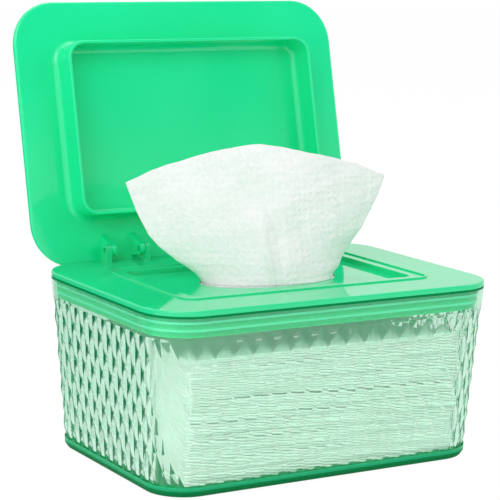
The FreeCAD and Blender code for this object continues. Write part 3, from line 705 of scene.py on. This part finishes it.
def folded(index):
    """One wipe of the stack, as wide and deep as its CAD pad."""
    name = f"folded_wipe_{index + 1:02d}"
    low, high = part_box(name)
    left, right = low[0] / MM, high[0] / MM
    lean = SLUMP * (TUB_FLOOR + WIPE_THICK * (index + 0.5))
    front, back = low[1] / MM - lean, high[1] / MM - lean
    across = np.linspace(0, 1, WIPE_COLUMNS)
    random = np.random.default_rng(FIRST_SEED + index)
    phases = random.random((PLIES + 1, 3)) * PHASE_RANGE
    rows = []
    for depth, level, bend, ply in fold_path():
        edge = ply // 2 if depth < 0.5 else 2 + ply // 2
        stray = np.zeros(WIPE_COLUMNS)
        for phase, (size, turns) in zip(phases[edge], STRAYS):
            stray = stray + size * np.sin(across * turns + phase)
        side = SIDE_STRAY * math.sin(phases[ply, 2]) * (1 if ply % 2 else -1)
        x = left + (right - left) * across + side * (2 * across - 1)
        near = bell(depth, 0, STRAY_DEPTH_SHARE) - bell(depth, 1, STRAY_DEPTH_SHARE)
        outward = bend * (-BEND_OUT if depth < 0.5 else BEND_OUT)
        y = front + FOLD_INSET + (back - front - 2 * FOLD_INSET) * depth + outward + stray * near
        bottom = boundary(index, x, y) + gap(index, x, y, front)
        top = boundary(index + 1, x, y) - gap(index + 1, x, y, front)
        fine = PLY_WAVE * np.sin(x / PLY_WAVE_LENGTH + level * PLY_WAVE_SHIFT + index)
        z = bottom + (top - bottom) * level / PLIES + fine
        rows.append(np.stack([x, y, z], axis=1))
    piece = grid_mesh(
        f"wipe_{index + 1:02d}", np.array(rows), stack_cloth, "box", PLY_THICK
    )
    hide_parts(name)
    return piece


stack = [folded(index) for index in range(COUNT)]
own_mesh(fan)


# Floor, world and lights, in metres

FLOOR_HALF = 4.0
FLOOR_DROP = 0.4 * MM
FLOOR_COLOUR = (0.86, 0.87, 0.87, 1)
FLOOR_ROUGH = 0.6
FLOOR_SPECULAR = 0.1
FLOOR_GLOW = 1.025
FLOOR_GLOW_SHARE = 0.93
WORLD_LIGHT = 0.55
WORLD_COLOUR = (0.97, 1.0, 0.99, 1)
# Painted reflections, as dark patches: one of the world at the front right, which gloss and the clear tub
# show, and one of the world and one on the floor at the back left, which only mirror reflections show
DARK_REFLECTION_GREY = (0.02, 0.05, 0.04)
FRONT_WAY = (0.47, -0.715, 0.517)
FRONT_EDGE = (0.956, 0.976)
SIDE_WAY = (-0.77, 0.585, -0.25)
SIDE_EDGE = (0.87, 0.90)
CARD_RIGHT = (-0.11, -0.15)
CARD_FRONT = (-0.02, 0.04)


def floor():
    half, level = FLOOR_HALF, -FLOOR_DROP
    mesh = bpy.data.meshes.new("floor")
    corners = [(-half, -half, level), (half, -half, level), (half, half, level), (-half, half, level)]
    mesh.from_pydata(corners, [], [(0, 1, 2, 3)])
    made = bpy.data.objects.new("floor", mesh)
    bpy.context.scene.collection.objects.link(made)
    material, tree, shader = new_material("pale_floor")
    shader.inputs["Base Color"].default_value = FLOOR_COLOUR
    shader.inputs["Roughness"].default_value = FLOOR_ROUGH
    shader.inputs["Specular IOR Level"].default_value = FLOOR_SPECULAR
    place = parts_of(tree, node(tree, "ShaderNodeNewGeometry").outputs["Position"])
    # Painted reflection: the floor's back-left patch turns dark grey only in mirror reflections
    aside = ramp(tree, place["X"], *CARD_RIGHT, 0, 1)
    behind = ramp(tree, place["Y"], *CARD_FRONT, 0, 1)
    reflected_dark_patch = product(tree, product(tree, aside, behind), mirrored(tree))
    glow = node(tree, "ShaderNodeEmission", Strength=FLOOR_GLOW)
    tree.links.new(mix_colour(tree, reflected_dark_patch, WHITE, DARK_REFLECTION_GREY), glow.inputs["Color"])
    share = product(tree, seen_directly(tree), FLOOR_GLOW_SHARE)
    mixed = mix_shader(tree, share, shader.outputs[0], glow.outputs[0])
    tree.links.new(mixed, output_of(tree).inputs["Surface"])
    mesh.materials.append(material)


def world():
    made = bpy.data.worlds.new("studio")
    bpy.context.scene.world = made
    made.use_nodes = True
    tree = made.node_tree
    tree.nodes.clear()
    output = tree.nodes.new("ShaderNodeOutputWorld")
    plain = node(tree, "ShaderNodeBackground", Strength=WORLD_LIGHT)
    plain.inputs["Color"].default_value = WORLD_COLOUR
    white = node(tree, "ShaderNodeBackground", Strength=1.0)
    place = node(tree, "ShaderNodeTexCoord")
    # Painted reflections: dark patches of the world that only gloss and the clear tub see
    front = toward(tree, place.outputs["Generated"], FRONT_WAY, *FRONT_EDGE)
    side = toward(tree, place.outputs["Generated"], SIDE_WAY, *SIDE_EDGE)
    dark_reflection_patches = maths(tree, "ADD", front, product(tree, side, mirrored(tree)), clamp=True)
    shown = product(tree, dark_reflection_patches, any_ray(tree, "Is Glossy Ray", "Is Transmission Ray"))
    tree.links.new(mix_colour(tree, shown, WHITE, DARK_REFLECTION_GREY), white.inputs["Color"])
    mixed = mix_shader(tree, seen_directly(tree), plain.outputs[0], white.outputs[0])
    tree.links.new(mixed, output.inputs["Surface"])


def softbox(name, place, aim_height, width, height, watts, in_gloss):
    lamp = bpy.data.lights.new(name, "AREA")
    lamp.shape = "RECTANGLE"
    lamp.size = width
    lamp.size_y = height
    lamp.energy = watts
    made = bpy.data.objects.new(name, lamp)
    bpy.context.scene.collection.objects.link(made)
    made.location = place
    away = Vector((0, 0, aim_height)) - Vector(place)
    made.rotation_euler = away.to_track_quat("-Z", "Y").to_euler()
    made.visible_glossy = in_gloss


floor()
world()
softbox("key", (-1.1, -1.0, 1.3), aim_height=0.1, width=1.2, height=1.0, watts=11.2, in_gloss=True)
softbox("side", (-1.3, -0.55, 0.28), aim_height=0.08, width=0.9, height=0.4, watts=4.6, in_gloss=False)
softbox("fill", (1.2, -1.1, 0.9), aim_height=0.1, width=1.2, height=1.0, watts=8.0, in_gloss=False)
softbox("top", (0.1, 0.5, 1.6), aim_height=0.1, width=1.0, height=1.0, watts=8.3, in_gloss=True)


# The camera, fitted to the photograph

PICTURE_PIXELS = 500
FOCAL_PIXELS = 1960.5
CENTRE_PIXEL = (251.76, 242.56)
SENSOR = 36.0
YAW_DEGREES = 30.53
PITCH_DEGREES = 9.47
ROLL_DEGREES = 1.04
CAMERA_PLACE = (-0.49655, -0.82627, 0.26587)
CAMERA_FAR = 20.0


def camera():
    yaw, pitch, roll = (math.radians(angle) for angle in (YAW_DEGREES, PITCH_DEGREES, ROLL_DEGREES))
    forward = Vector((math.sin(yaw) * math.cos(pitch), math.cos(yaw) * math.cos(pitch), -math.sin(pitch)))
    level = Vector((math.cos(yaw), -math.sin(yaw), 0))
    upright = level.cross(forward)
    right = level * math.cos(roll) + upright * math.sin(roll)
    up = upright * math.cos(roll) - level * math.sin(roll)
    data = bpy.data.cameras.new("camera")
    data.sensor_width = SENSOR
    data.lens = FOCAL_PIXELS / PICTURE_PIXELS * SENSOR
    data.shift_x = 0.5 - CENTRE_PIXEL[0] / PICTURE_PIXELS
    data.shift_y = CENTRE_PIXEL[1] / PICTURE_PIXELS - 0.5
    data.clip_end = CAMERA_FAR
    made = bpy.data.objects.new("camera", data)
    bpy.context.scene.collection.objects.link(made)
    turn = Matrix((right, up, -forward)).transposed().to_4x4()
    turn.translation = Vector(CAMERA_PLACE)
    made.matrix_world = turn
    bpy.context.scene.camera = made


camera()
bpy.context.scene.view_settings.view_transform = "Standard"
